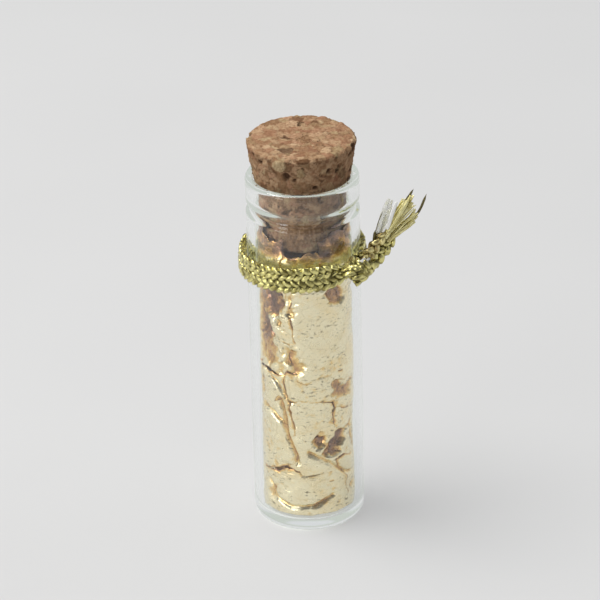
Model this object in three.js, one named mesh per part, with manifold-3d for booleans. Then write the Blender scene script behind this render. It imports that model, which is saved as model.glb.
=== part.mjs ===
// A corked glass vial, packed with crumpled gold leaf and tied with a braided metallic cord.
// Millimetres, +Z up. The origin is the centre of the vial's foot, on the vial's axis.
// -Y is the front, and the cord's knot and its two frayed ends stand at the front right.
import * as THREE from 'three';
import { mergeVertices } from 'three/addons/utils/BufferGeometryUtils.js';
import Module from 'manifold-3d';

const wasm = await Module();
wasm.setup();

// Glass vial: a straight tube with a rounded foot, a pinched groove and a fire-rounded lip.
const VIAL_HEIGHT = 50.5;
const VIAL_RADIUS = 7.5;
const WALL = 1.1;
const BORE_RADIUS = VIAL_RADIUS - WALL;
const FLOOR_THICKNESS = 1.4;
const FOOT_ROUND = 1.3;
const FLOOR_ROUND = 0.9;
const LIP_OUTER_ROUND = 0.55;
const LIP_INNER_ROUND = 0.3;
const GROOVE_HEIGHT = 46.3;
const GROOVE_DEPTH = 0.6;
const GROOVE_REACH = 0.95;
const NECK_RADIUS = 5.95;
const NECK_REACH = 1.6;
const ROUND_SEGMENTS = 48;
const CURVE_STEPS = 3;

// Cork stopper: one tapered plug of agglomerated cork, its lower end inside the neck.
const CORK_TOP_RADIUS = 7.15;
const CORK_BOTTOM_RADIUS = 4.85;
const CORK_STANDS_OUT = 5.1;
const CORK_INSIDE = 9.2;
const CORK_EDGE = 0.35;

// Gold leaf: an outer layer of flakes against the glass, and an inner layer behind its seams.
const LEAF_THICKNESS = 0.3;
const LEAF_GAP = 0.36;
const LEAF_OUTER_RADIUS = BORE_RADIUS - 0.25;
const LEAF_CRUMPLE = 0.6;
const LEAF_NECK_CRUMPLE = 0.2;
const LEAF_NECK_HEIGHT = 38.5;
const INNER_RADIUS = LEAF_OUTER_RADIUS - LEAF_CRUMPLE - LEAF_THICKNESS - LEAF_GAP;
const FLAKE_COLUMN_DEGREES = 13;
const FLAKE_ROW_HEIGHT = 2.6;

// Each flake's four corners as [angle in degrees, height], seen from outside the vial:
// top left, top right, bottom right, bottom left.
const OUTER_FLAKES = [
  [[-176, 43.4], [-124, 43.0], [-124, 36.3], [-176, 35.3]],
  [[-120, 40.8], [-64, 40.6], [-64, 36.9], [-120, 36.4]],
  [[-60, 41.4], [-4, 42.8], [-4, 35.9], [-60, 36.9]],
  [[0, 42.8], [88, 42.4], [88, 35.2], [0, 35.9]],
  [[92, 42.4], [180, 43.2], [180, 35.3], [92, 35.2]],
  [[-106, 36.0], [-26, 36.0], [-12, 21.9], [-96, 24.0]],
  [[-176, 34.9], [-110, 35.8], [-114, 29.6], [-176, 29.2]],
  [[-176, 28.8], [-118, 29.1], [-101, 24.1], [-176, 23.4]],
  [[-22, 35.4], [62, 34.9], [62, 20.4], [-8.5, 21.6]],
  [[66, 34.8], [124, 34.6], [124, 22.0], [66, 20.2]],
  [[128, 34.6], [180, 34.9], [180, 22.6], [128, 21.9]],
  [[-112, 23.4], [-53, 22.5], [-53.5, 20.3], [-116, 20.5]],
  [[-176, 22.9], [-126, 22.7], [-108.5, 11.2], [-176, 8.6]],
  [[-118, 19.9], [-55, 19.6], [-62, 12.9], [-103.5, 11.9]],
  [[-49.5, 22.2], [-12, 21.2], [-5, 17.6], [-50, 19.5]],
  [[-50.5, 19.0], [-6, 17.1], [-18, 9.4], [-53.5, 11.4]],
  [[3, 20.9], [66, 19.8], [66, 8.6], [-12, 9.2]],
  [[70, 19.8], [126, 21.3], [120, 9.0], [70, 8.4]],
  [[130, 21.4], [180, 22.1], [180, 8.9], [124, 9.2]],
  [[-102, 11.4], [-59, 12.3], [-50, 8.3], [-106, 8.0]],
  [[-176, 8.1], [-48, 7.6], [-48, 1.9], [-176, 1.9]],
  [[-44.5, 9.3], [12, 8.5], [12, 1.9], [-44.5, 1.9]],
  [[15.5, 8.2], [96, 8.0], [96, 1.9], [15.5, 1.9]],
  [[99.5, 8.2], [180, 8.3], [180, 1.9], [99.5, 1.9]],
];
const INNER_FLAKES = [
  [[-172, 38.5], [-84, 39.5], [-88, 25.5], [-172, 25.0]],
  [[-78, 39.5], [10, 39.0], [6, 24.0], [-80, 25.2]],
  [[18, 39.0], [92, 39.0], [96, 23.0], [14, 23.5]],
  [[100, 39.0], [180, 38.8], [180, 24.5], [103, 23.4]],
  [[-172, 24.2], [-92, 24.6], [-96, 4.0], [-172, 4.0]],
  [[-85, 24.2], [0, 23.2], [-4, 4.0], [-88, 4.0]],
  [[8, 22.6], [90, 22.0], [92, 4.0], [5, 4.0]],
  [[98, 22.2], [180, 23.5], [180, 4.0], [99, 4.0]],
];

// Cord: a flat braid that goes once round the vial's shoulder into an overhand knot.
const BAND_INNER_RADIUS = 7.85;
const BAND_OUTER_RADIUS = 8.5;
const BAND_WIDTH = 3.6;
const BAND_EDGE = 0.2;
const BAND_CENTRE = new THREE.Vector3(-0.15, 0, 38.85);
const BAND_TILT = THREE.MathUtils.degToRad(2);
const KNOT_ANGLE = THREE.MathUtils.degToRad(-40);
const KNOT_OPENING = THREE.MathUtils.degToRad(13);
const KNOT_DISTANCE = 9.35;
const KNOT_HEIGHT = 39.5;
const KNOT_TURN_RADIUS = 1.0;
const KNOT_STRAND_RADIUS = 0.6;
const END_RADIUS = 0.6;
const END_SIDES = 8;
const FRAY_RADIUS = 1.15;
const UPPER_END = [
  [8.5, -5.0, 41.0],
  [9.7, -4.3, 42.5],
  [10.9, -3.8, 43.8],
];
const LOWER_END = [
  [8.95, -4.55, 39.75],
  [10.4, -3.6, 40.9],
  [11.7, -2.9, 42.3],
];
const UPPER_FRAY_TIP = [14.3, -3.1, 48.8];
const LOWER_FRAY_TIP = [15.6, -2.2, 46.3];
const FRAY_GAP = 0.35;

const glass = new THREE.MeshStandardMaterial({
  color: 0xe4ebe6,
  roughness: 0.03,
  metalness: 0,
  transparent: true,
  opacity: 0.3,
});
const cork = new THREE.MeshStandardMaterial({ color: 0xa67a55, roughness: 0.9, metalness: 0 });
const leaf = new THREE.MeshStandardMaterial({ color: 0xe6cf9a, roughness: 0.3, metalness: 1 });
const braid = new THREE.MeshStandardMaterial({ color: 0xc2b95c, roughness: 0.35, metalness: 0.8 });

const vial = new THREE.Group();

function addMesh(name, geometry, material) {
  const mesh = new THREE.Mesh(geometry, material);
  mesh.name = name;
  vial.add(mesh);
  return mesh;
}

// Turns a profile of (radius, height) points into a solid of revolution about Z.
function turned(points, segments) {
  return new THREE.LatheGeometry(points, segments).rotateX(Math.PI / 2);
}

function toManifold(geometry) {
  const bare = geometry.clone();
  bare.deleteAttribute('normal');
  bare.deleteAttribute('uv');
  const merged = mergeVertices(bare, 1e-4);
  const mesh = new wasm.Mesh({
    numProp: 3,
    vertProperties: new Float32Array(merged.attributes.position.array),
    triVerts: new Uint32Array(merged.index.array),
  });
  return new wasm.Manifold(mesh);
}

function toGeometry(solid) {
  const mesh = solid.getMesh();
  const geometry = new THREE.BufferGeometry();
  geometry.setAttribute('position', new THREE.BufferAttribute(mesh.vertProperties, 3));
  geometry.setIndex(new THREE.BufferAttribute(mesh.triVerts, 1));
  geometry.computeVertexNormals();
  return geometry;
}

function glassProfile() {
  const outline = new THREE.Path();
  const groove = VIAL_RADIUS - GROOVE_DEPTH;
  const quarter = Math.PI / 2;
  const low = GROOVE_HEIGHT - GROOVE_REACH;
  const high = GROOVE_HEIGHT + GROOVE_REACH;
  const ease = GROOVE_REACH / 2;
  outline.moveTo(0, 0);
  outline.lineTo(VIAL_RADIUS - FOOT_ROUND, 0);
  outline.absarc(VIAL_RADIUS - FOOT_ROUND, FOOT_ROUND, FOOT_ROUND, -quarter, 0, false);
  outline.lineTo(VIAL_RADIUS, low);
  outline.bezierCurveTo(VIAL_RADIUS, low + ease, groove, low + ease, groove, GROOVE_HEIGHT);
  outline.bezierCurveTo(groove, high - ease, VIAL_RADIUS, high - ease, VIAL_RADIUS, high);
  outline.lineTo(VIAL_RADIUS, VIAL_HEIGHT - LIP_OUTER_ROUND);
  const lipCentre = VIAL_RADIUS - LIP_OUTER_ROUND;
  outline.absarc(lipCentre, VIAL_HEIGHT - LIP_OUTER_ROUND, LIP_OUTER_ROUND, 0, quarter, false);
  const mouthCentre = BORE_RADIUS + LIP_INNER_ROUND;
  outline.lineTo(mouthCentre, VIAL_HEIGHT);
  outline.absarc(
    mouthCentre, VIAL_HEIGHT - LIP_INNER_ROUND, LIP_INNER_ROUND, quarter, Math.PI, false);
  const neckHigh = GROOVE_HEIGHT + NECK_REACH;
  const neckLow = GROOVE_HEIGHT - NECK_REACH;
  const neckEase = NECK_REACH / 2;
  outline.lineTo(BORE_RADIUS, neckHigh);
  outline.bezierCurveTo(
    BORE_RADIUS, neckHigh - neckEase, NECK_RADIUS, neckHigh - neckEase, NECK_RADIUS, GROOVE_HEIGHT);
  outline.bezierCurveTo(
    NECK_RADIUS, neckLow + neckEase, BORE_RADIUS, neckLow + neckEase, BORE_RADIUS, neckLow);
  outline.lineTo(BORE_RADIUS, FLOOR_THICKNESS + FLOOR_ROUND);
  const floorCentre = BORE_RADIUS - FLOOR_ROUND;
  outline.absarc(
    floorCentre, FLOOR_THICKNESS + FLOOR_ROUND, FLOOR_ROUND, 0, -quarter, true);
  outline.lineTo(0, FLOOR_THICKNESS);
  return outline.getPoints(CURVE_STEPS);
}

function corkGeometry() {
  const bottom = VIAL_HEIGHT - CORK_INSIDE;
  const top = VIAL_HEIGHT + CORK_STANDS_OUT;
  const profile = [
    [0, bottom],
    [CORK_BOTTOM_RADIUS - CORK_EDGE, bottom],
    [CORK_BOTTOM_RADIUS, bottom + CORK_EDGE],
    [CORK_TOP_RADIUS, top - CORK_EDGE],
    [CORK_TOP_RADIUS - CORK_EDGE, top],
    [0, top],
  ];
  return turned(profile.map(([r, z]) => new THREE.Vector2(r, z)), ROUND_SEGMENTS);
}

// How far a flake is crumpled inwards, from 0 to 1, at a place on it.
function crumple(u, v, seed) {
  const fold = Math.sin(3.1 * u + 4.7 * v + 1.7 * seed);
  const crease = Math.sin(7.3 * u - 5.9 * v + 2.9 * seed);
  const ripple = Math.sin(11.9 * u + 9.1 * v - 4.3 * seed);
  return 0.5 + 0.25 * fold + 0.15 * crease + 0.1 * ripple;
}

// The [angle in degrees, height] at a share of a flake's width and of its height.
function placeOnFlake([topLeft, topRight, bottomRight, bottomLeft], u, v) {
  const { lerp } = THREE.MathUtils;
  return [0, 1].map((i) => lerp(
    lerp(bottomLeft[i], bottomRight[i], u), lerp(topLeft[i], topRight[i], u), v));
}

// A thin crumpled sheet bent round the axis, between its four corners.
function flakeGeometry(corners, radius, seed) {
  const [topLeft, topRight, bottomRight, bottomLeft] = corners;
  const width = Math.max(topRight[0] - topLeft[0], bottomRight[0] - bottomLeft[0]);
  const height = Math.max(topLeft[1] - bottomLeft[1], topRight[1] - bottomRight[1]);
  const columns = Math.ceil(width / FLAKE_COLUMN_DEGREES);
  const rows = Math.ceil(height / FLAKE_ROW_HEIGHT);
  const geometry = new THREE.BoxGeometry(1, 1, 1, columns, rows, 1);
  const points = geometry.attributes.position;
  for (let i = 0; i < points.count; i += 1) {
    const [u, v] = [points.getX(i) + 0.5, points.getY(i) + 0.5];
    const [degrees, z] = placeOnFlake(corners, u, v);
    const depth = z > LEAF_NECK_HEIGHT ? LEAF_NECK_CRUMPLE : LEAF_CRUMPLE;
    const r = radius - depth * crumple(u, v, seed) - (points.getZ(i) > 0 ? 0 : LEAF_THICKNESS);
    const angle = THREE.MathUtils.degToRad(degrees);
    points.setXYZ(i, r * Math.cos(angle), r * Math.sin(angle), z);
  }
  return geometry;
}

function addFlakes(name, flakes, radius) {
  flakes.forEach((corners, i) => {
    const number = String(i + 1).padStart(2, '0');
    addMesh(`${name}_${number}`, flakeGeometry(corners, radius, i + 1), leaf);
  });
}

function bandGeometry() {
  const outline = new THREE.Shape();
  const start = KNOT_ANGLE + KNOT_OPENING;
  const end = KNOT_ANGLE - KNOT_OPENING + 2 * Math.PI;
  outline.absarc(0, 0, BAND_OUTER_RADIUS - BAND_EDGE, start, end, false);
  outline.absarc(0, 0, BAND_INNER_RADIUS + BAND_EDGE, end, start, true);
  const geometry = new THREE.ExtrudeGeometry(outline, {
    depth: BAND_WIDTH - 2 * BAND_EDGE,
    curveSegments: 36,
    bevelThickness: BAND_EDGE,
    bevelSize: BAND_EDGE,
    bevelSegments: 1,
  });
  return geometry.translate(0, 0, BAND_EDGE - BAND_WIDTH / 2);
}

// The overhand knot: two turns of the cord crossed over a packed middle, joined in one lump.
function knotGeometry() {
  const middle = new THREE.SphereGeometry(1, 14, 10).scale(1.05, 0.9, 1.25);
  const turn = new THREE.TorusGeometry(KNOT_TURN_RADIUS, KNOT_STRAND_RADIUS, 8, 16);
  const first = turn.clone().rotateX(Math.PI / 2).rotateY(0.5);
  const second = turn.clone().rotateX(Math.PI / 2).rotateY(-0.75).rotateX(0.3);
  let solid = toManifold(middle);
  for (const strand of [first, second]) {
    solid = solid.add(toManifold(strand));
  }
  return toGeometry(solid);
}

function tubeAlong(points, radius) {
  const route = new THREE.CatmullRomCurve3(points.map((p) => new THREE.Vector3(...p)));
  const section = new THREE.Shape();
  for (let side = 0; side < END_SIDES; side += 1) {
    const angle = (side * 2 * Math.PI) / END_SIDES;
    const x = radius * Math.cos(angle);
    const y = radius * Math.sin(angle);
    if (side === 0) section.moveTo(x, y);
    else section.lineTo(x, y);
  }
  return new THREE.ExtrudeGeometry(section, { steps: 4, extrudePath: route });
}

// A frayed end: a fan of threads, as one body that widens from the cord's cut to its tips.
function frayGeometry(from, tip) {
  const length = new THREE.Vector3(...tip).distanceTo(new THREE.Vector3(...from)) - FRAY_GAP;
  const profile = [
    [0, 0],
    [END_RADIUS, 0],
    [FRAY_RADIUS * 0.85, length * 0.55],
    [FRAY_RADIUS, length * 0.85],
    [FRAY_RADIUS * 0.6, length],
    [0, length],
  ];
  return turned(profile.map(([r, z]) => new THREE.Vector2(r, z)), 12);
}

function addFray(name, from, tip) {
  const direction = new THREE.Vector3(...tip).sub(new THREE.Vector3(...from)).normalize();
  const mesh = addMesh(name, frayGeometry(from, tip), braid);
  mesh.quaternion.setFromUnitVectors(new THREE.Vector3(0, 0, 1), direction);
  mesh.position.set(...from).addScaledVector(direction, FRAY_GAP);
}

addMesh('glass_vial', turned(glassProfile(), ROUND_SEGMENTS), glass);
addMesh('cork_stopper', corkGeometry(), cork);

addFlakes('gold_leaf_outer', OUTER_FLAKES, LEAF_OUTER_RADIUS);
addFlakes('gold_leaf_inner', INNER_FLAKES, INNER_RADIUS);

const band = addMesh('cord_band', bandGeometry(), braid);
band.position.copy(BAND_CENTRE);
band.rotation.y = -BAND_TILT;

const knot = addMesh('cord_knot', knotGeometry(), braid);
knot.position.set(
  KNOT_DISTANCE * Math.cos(KNOT_ANGLE), KNOT_DISTANCE * Math.sin(KNOT_ANGLE), KNOT_HEIGHT);
knot.rotation.z = KNOT_ANGLE;

addMesh('cord_end_upper', tubeAlong(UPPER_END, END_RADIUS), braid);
addMesh('cord_end_lower', tubeAlong(LOWER_END, END_RADIUS), braid);
addFray('cord_fray_upper', UPPER_END.at(-1), UPPER_FRAY_TIP);
addFray('cord_fray_lower', LOWER_END.at(-1), LOWER_FRAY_TIP);

export default vial;
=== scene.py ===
# A corked glass vial, packed with crumpled gold leaf and tied with a braided metallic cord.
# The shape functions work in millimetres, and each mesh becomes metres as it is made.
# -Y is the front, and the cord's knot and its two frayed ends stand at the front right.
import math

import bpy
import numpy as np
from mathutils import Matrix, Vector, kdtree, noise


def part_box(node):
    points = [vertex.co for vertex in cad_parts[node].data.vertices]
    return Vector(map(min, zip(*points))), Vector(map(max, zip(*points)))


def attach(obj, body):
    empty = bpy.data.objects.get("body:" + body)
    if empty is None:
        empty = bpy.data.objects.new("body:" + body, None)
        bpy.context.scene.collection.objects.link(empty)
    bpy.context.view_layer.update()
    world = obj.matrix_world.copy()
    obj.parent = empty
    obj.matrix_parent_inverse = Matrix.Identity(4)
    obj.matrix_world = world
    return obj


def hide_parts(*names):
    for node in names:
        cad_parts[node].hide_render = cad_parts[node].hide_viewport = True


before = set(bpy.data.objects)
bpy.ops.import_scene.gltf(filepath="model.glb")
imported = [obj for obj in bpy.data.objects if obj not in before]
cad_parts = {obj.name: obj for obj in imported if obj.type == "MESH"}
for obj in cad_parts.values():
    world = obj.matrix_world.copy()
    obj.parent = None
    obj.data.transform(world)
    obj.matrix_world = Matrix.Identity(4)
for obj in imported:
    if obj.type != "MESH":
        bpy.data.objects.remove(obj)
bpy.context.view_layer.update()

MM = 0.001
TURN = 2 * math.pi

# Camera, at the front and a little above the vial.
CAMERA_TARGET = Vector((0, 0, 0.025))
CAMERA_DISTANCE = 0.430
CAMERA_ELEVATION = math.radians(28.5)
CAMERA_ROLL = math.radians(-1.378)
CAMERA_AIM_RIGHT = -0.00189
CAMERA_AIM_UP = 0.01397
CAMERA_LENS = 192.6

# Glass vial, in millimetres.
VIAL_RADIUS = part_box("glass_vial")[1].x / MM
VIAL_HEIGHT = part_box("glass_vial")[1].z / MM
BORE_RADIUS = VIAL_RADIUS - 1.1
FLOOR_THICKNESS = 1.4
FLOOR_RING = 3
FOOT_ROUND = 1.3
FLOOR_ROUND = 0.9
LIP_OUTER_ROUND = 0.55
LIP_INNER_ROUND = 0.3
GROOVE_HEIGHT = 46.3
GROOVE_DEPTH = 0.6
GROOVE_REACH = 0.95
NECK_RADIUS = 5.95
NECK_REACH = 1.6
GLASS_SEGMENTS = 144
ARC_STEPS = 10

# Cork stopper.
CORK_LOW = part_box("cork_stopper")[0].z / MM
CORK_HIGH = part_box("cork_stopper")[1].z / MM
CORK_TOP_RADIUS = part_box("cork_stopper")[1].x / MM
CORK_BOTTOM_RADIUS = 4.85
CORK_EDGE = 0.35
CORK_SPACING = 0.16
CORK_GRANULE = 0.85
# Pits in the cork, with painted shade in them: [angle, height, reach, depth], in degrees and millimetres.
CORK_PITS = [
    [-152, 54.8, 0.55, 0.45],
    [-141, 54.5, 0.35, 0.35],
    [-107, 53.1, 0.6, 0.5],
    [-98, 52.6, 0.35, 0.3],
    [-74, 51.3, 0.5, 0.35],
    [-28, 54.6, 0.4, 0.35],
    [-60, 53.6, 0.35, 0.3],
    [14, 54.2, 0.5, 0.4],
    [58, 52.4, 0.45, 0.35],
    [104, 54.9, 0.6, 0.45],
    [140, 51.9, 0.5, 0.35],
    [167, 55.5, 0.8, 0.4],
]
# A large pale granule at the cork's edge, placed in the same way.
CORK_KNOB = [-115, 54.5, 1.05, 0.16]

# Gold leaf. Each flake's four corners are [angle in degrees, height], seen from outside the vial:
# top left, top right, bottom right, bottom left.
LEAF_RADIUS = BORE_RADIUS - 0.06
LEAF_INNER_RADIUS = 5.1
LEAF_THICKNESS = 0.03
LEAF_SPACING = 0.15
LEAF_OVERLAP = 1.0
LEAF_FOOT = FLOOR_THICKNESS + 0.75
LEAF_DEEPEST = 1.1
# How far the inner flakes fold over at the top and the bottom, and at what heights.
LEAF_LID = 4.6
LID_TOP = 40.6
LID_BOTTOM = 3.4
# The leaf is smoothest at the front, between these angles, and looser by this factor elsewhere.
LEAF_FRONT = [-170, -12]
LEAF_LOOSENESS = 2.6
NECK_START = 40.1
OUTER_FLAKES = [
    [[-176, 43.4], [-124, 43.0], [-124, 36.3], [-176, 35.3]],
    [[-120, 40.8], [-64, 40.6], [-64, 36.9], [-120, 36.4]],
    [[-60, 41.4], [-4, 42.8], [-4, 35.9], [-60, 36.9]],
    [[0, 42.8], [88, 42.4], [88, 35.2], [0, 35.9]],
    [[92, 42.4], [180, 43.2], [180, 35.3], [92, 35.2]],
    [[-106, 36.0], [-26, 36.0], [-12, 21.9], [-96, 24.0]],
    [[-176, 34.9], [-110, 35.8], [-114, 29.6], [-176, 29.2]],
    [[-176, 28.8], [-118, 29.1], [-101, 24.1], [-176, 23.4]],
    [[-22, 35.4], [62, 34.9], [62, 20.4], [-8.5, 21.6]],
    [[66, 34.8], [124, 34.6], [124, 22.0], [66, 20.2]],
    [[128, 34.6], [180, 34.9], [180, 22.6], [128, 21.9]],
    [[-112, 23.4], [-53, 22.5], [-53.5, 20.3], [-116, 20.5]],
    [[-176, 22.9], [-126, 22.7], [-108.5, 11.2], [-176, 8.6]],
    [[-118, 19.9], [-55, 19.6], [-62, 12.9], [-103.5, 11.9]],
    [[-49.5, 22.2], [-12, 21.2], [-5, 17.6], [-50, 19.5]],
    [[-50.5, 19.0], [-6, 17.1], [-18, 9.4], [-53.5, 11.4]],
    [[3, 20.9], [66, 19.8], [66, 8.6], [-12, 9.2]],
    [[70, 19.8], [126, 21.3], [120, 9.0], [70, 8.4]],
    [[130, 21.4], [180, 22.1], [180, 8.9], [124, 9.2]],
    [[-102, 11.4], [-59, 12.3], [-50, 8.3], [-106, 8.0]],
    [[-176, 8.1], [-48, 7.6], [-48, 1.9], [-176, 1.9]],
    [[-44.5, 9.3], [12, 8.5], [12, 1.9], [-44.5, 1.9]],
    [[15.5, 8.2], [96, 8.0], [96, 1.9], [15.5, 1.9]],
    [[99.5, 8.2], [180, 8.3], [180, 1.9], [99.5, 1.9]],
]
INNER_FLAKES = [
    [[-172, 38.5], [-84, 39.5], [-88, 25.5], [-172, 25.0]],
    [[-78, 39.5], [10, 39.0], [6, 24.0], [-80, 25.2]],
    [[18, 39.0], [92, 39.0], [96, 23.0], [14, 23.5]],
    [[100, 39.0], [180, 38.8], [180, 24.5], [103, 23.4]],
    [[-172, 24.2], [-92, 24.6], [-96, 4.0], [-172, 4.0]],
    [[-85, 24.2], [0, 23.2], [-4, 4.0], [-88, 4.0]],
    [[8, 22.6], [90, 22.0], [92, 4.0], [5, 4.0]],
    [[98, 22.2], [180, 23.5], [180, 4.0], [99, 4.0]],
]
# Where the leaf sinks away from the glass: [angle, height, reach along, reach up, turn, depth], in
# degrees and millimetres.
HOLLOWS = [
    [-134, 34.0, 3.6, 3.2, 20, 1.05],
    [-148, 30.2, 2.3, 2.8, 0, 0.95],
    [-172, 32.5, 0.7, 2.6, 0, 0.5],
    [-50, 35.2, 2.4, 1.7, -25, 0.9],
    [-142, 26.6, 3.9, 2.7, -8, 0.6],
    [-107, 26.2, 1.2, 2.6, 28, 0.5],
    [-160, 22.0, 1.0, 2.3, 10, 0.65],
    [-42, 20.2, 2.1, 1.1, 12, 0.8],
    [-54, 21.8, 0.7, 0.8, 0, 0.8],
    [-76, 13.4, 1.3, 1.7, -20, 1.1],
    [-50, 13.2, 1.2, 2.7, -42, 1.0],
    [-63, 11.6, 1.9, 0.9, 0, 0.9],
    [-138, 4.9, 1.0, 2.0, 25, 0.55],
    [-13, 31.4, 0.5, 0.9, 0, 0.7],
    [-24, 5.2, 0.9, 0.7, 0, 0.6],
    [22, 33.0, 2.9, 1.7, 15, 0.6],
    [52, 21.0, 1.2, 3.0, -25, 0.6],
    [74, 12.5, 2.6, 1.1, 30, 0.65],
    [104, 32.5, 1.8, 2.8, 15, 0.7],
    [126, 20.0, 1.2, 2.8, -30, 0.6],
    [158, 12.5, 2.9, 1.5, 25, 0.65],
]
# Sharp creases in the leaf, each a line of [angle, height] points.
CREASES = [
    [[-160, 18.9], [-136, 17.4], [-122, 16.4], [-115, 14.2], [-104.5, 11.5], [-103, 10.3]],
    [[-125, 20.0], [-118, 17.2], [-115, 14.2]],
    [[-90, 12.0], [-74, 10.9], [-62, 9.9], [-40, 7.7], [-28, 7.3]],
    [[-145, 6.6], [-130, 4.3], [-112, 3.5], [-84, 3.7], [-60, 4.9]],
    [[-148, 23.6], [-128, 22.4], [-116, 20.4]],
    [[-30, 14.9], [-22, 12.0], [-12, 10.2]],
    [[6, 30.5], [24, 26.5], [40, 20.5]],
    [[60, 31.0], [78, 26.0], [84, 21.0]],
    [[110, 16.5], [128, 12.0], [133, 6.0]],
    [[145, 33.0], [170, 29.5], [184, 24.0]],
    [[20, 15.0], [48, 12.5], [70, 11.5]],
]

# Cord, in millimetres: a flat braid once round the vial's shoulder, its knot and its two ends.
BAND_RADIUS = 8.05
BAND_WIDTH = 3.6
BAND_CENTRE = np.array([-0.15, 0, 38.85])
BAND_TILT = math.radians(2)
BAND_LEAN = 0.09
KNOT_ANGLE = math.radians(-40)
KNOT_REACH = math.radians(7)
KNOT_OUT = 9.35
KNOT_CENTRE = np.array([KNOT_OUT * math.cos(KNOT_ANGLE), KNOT_OUT * math.sin(KNOT_ANGLE), 39.5])
UPPER_END = [[8.5, -5.0, 41.0], [9.7, -4.3, 42.5], [10.9, -3.8, 43.8]]
LOWER_END = [[8.95, -4.55, 39.75], [10.4, -3.6, 40.9], [11.7, -2.9, 42.3]]
BRAID_STEP = 0.13
STRAND_SIDES = 12
STRAND_LOOSENESS = 0.8
STRAND_TWIST = 0.4
THREAD_HALF_THICKNESS = 0.014
THREADS_PER_END = 44
# The frayed ends: where each fan of threads starts and ends, and single strips, each a half width and
# a line of points.
FACING = [0.1, -1.0, 0.3]
UPPER_FRAY = [10.5, -4.0, 43.1]
UPPER_TIPS = [
    [12.6, -3.6, 47.6], [13.5, -3.5, 48.2], [14.3, -3.3, 49.2], [14.5, -3.2, 47.6], [14.8, -3.2, 46.6],
]
LOWER_FRAY = [11.0, -3.6, 42.3]
LOWER_TIPS = [[14.9, -2.9, 46.5], [15.1, -2.8, 45.6], [14.7, -2.9, 44.8], [13.9, -3.0, 44.2]]
DARK_TIPS = [
    [0.16, [[12.9, -3.7, 46.8], [13.7, -3.6, 48.3], [14.4, -3.5, 49.5]]],
    [0.12, [[12.6, -3.8, 46.2], [13.2, -3.7, 47.6], [13.9, -3.6, 48.9]]],
    [0.17, [[14.2, -3.0, 44.8], [15.2, -3.0, 46.2], [16.1, -3.0, 48.5]]],
    [0.2, [[9.1, -4.3, 41.8], [9.2, -4.4, 42.9], [9.35, -4.4, 44.1]]],
    [0.05, [[9.3, -4.4, 43.6], [9.8, -4.4, 45.4], [10.46, -4.3, 46.9]]],
    [0.18, [[10.2, -4.4, 42.5], [10.8, -4.3, 43.1], [11.5, -4.2, 43.7]]],
]
CLEAR_STRIPS = [
    [0.3, [[9.6, -4.2, 42.9], [10.3, -4.2, 46.2], [11.2, -4.0, 48.4]]],
    [0.28, [[10.1, -4.1, 43.2], [11.0, -4.0, 45.8], [11.9, -3.9, 47.3]]],
    [0.22, [[9.9, -3.9, 43.2], [10.9, -3.8, 46.0], [11.6, -3.6, 48.0]]],
    [0.26, [[7.2, -7.1, 40.0], [7.9, -7.0, 40.7], [8.6, -6.2, 40.9]]],
]
WHITE_STRIPS = [
    [0.26, [[10.9, -4.5, 44.2], [11.5, -4.5, 46.2], [12.15, -4.4, 48.1]]],
    [0.14, [[10.2, -4.3, 43.4], [10.7, -4.3, 44.4], [11.3, -4.2, 45.4]]],
    [0.2, [[7.0, -7.2, 40.6], [7.5, -7.1, 41.0], [8.0, -6.6, 41.1]]],
]


# ---------------------------------------------------------------- meshes

def grid_faces(rows, columns, closed=False):
    """The quads of a grid of points, row by row, whose last column joins its first if closed."""
    faces = []
    for row in range(rows - 1):
        for column in range(columns if closed else columns - 1):
            after = (column + 1) % columns
            low = row * columns
            high = low + columns
            faces.append((low + column, low + after, high + after, high + column))
    return faces


def make_piece(name, vertices, faces, material, body, nodes=()):
    mesh = bpy.data.meshes.new(name)
    mesh.from_pydata((np.asarray(vertices) * MM).tolist(), [], faces)
    mesh.validate()
    mesh.polygons.foreach_set("use_smooth", [True] * len(mesh.polygons))
    mesh.materials.append(material)
    piece = bpy.data.objects.new(name, mesh)
    bpy.context.scene.collection.objects.link(piece)
    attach(piece, body)
    if nodes:
        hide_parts(*nodes)
    return piece


def add_colours(piece, name, colours):
    """Stores three numbers from 0 to 1 at each vertex, as a colour attribute."""
    layer = piece.data.color_attributes.new(name, "FLOAT_COLOR", "POINT")
    opaque = np.concatenate([colours, np.ones((len(colours), 1))], axis=1)
    layer.data.foreach_set("color", opaque.astype(np.float32).ravel())


def unit(vectors):
    return vectors / np.linalg.norm(vectors, axis=-1, keepdims=True)


def smooth_route(points, step):
    """Evenly spaced points, a step apart, on a smooth curve through the given ones."""
    points = np.asarray(points, float)
    ends = [2 * points[0] - points[1], *points, 2 * points[-1] - points[-2]]
    route = []
    for a, b, c, d in zip(ends, ends[1:], ends[2:], ends[3:]):
        for t in np.linspace(0, 1, 24, endpoint=False):
            route.append(0.5 * (
                2 * b + (c - a) * t + (2 * a - 5 * b + 4 * c - d) * t**2 + (3 * b - a - 3 * c + d) * t**3
            ))
    route = np.array([*route, points[-1]])
    along = np.concatenate([[0], np.cumsum(np.linalg.norm(np.diff(route, axis=0), axis=1))])
    even = np.linspace(0, along[-1], max(4, round(along[-1] / step)))
    return np.stack([np.interp(even, along, route[:, i]) for i in range(3)], axis=1)


def sweep(route, across, outward, half_width, half_thickness, section):
    """A closed tube along a route. The section is (across, outward) points of an outline of size 1."""
    rings = (
        route[:, None]
        + across[:, None] * section[None, :, 0, None] * half_width[:, None, None]
        + outward[:, None] * section[None, :, 1, None] * half_thickness[:, None, None]
    )
    count, sides = len(route), len(section)
    faces = grid_faces(count, sides, closed=True)
    faces.append(tuple(reversed(range(sides))))
    faces.append(tuple(range((count - 1) * sides, count * sides)))
    return rings.reshape(-1, 3), faces


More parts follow.
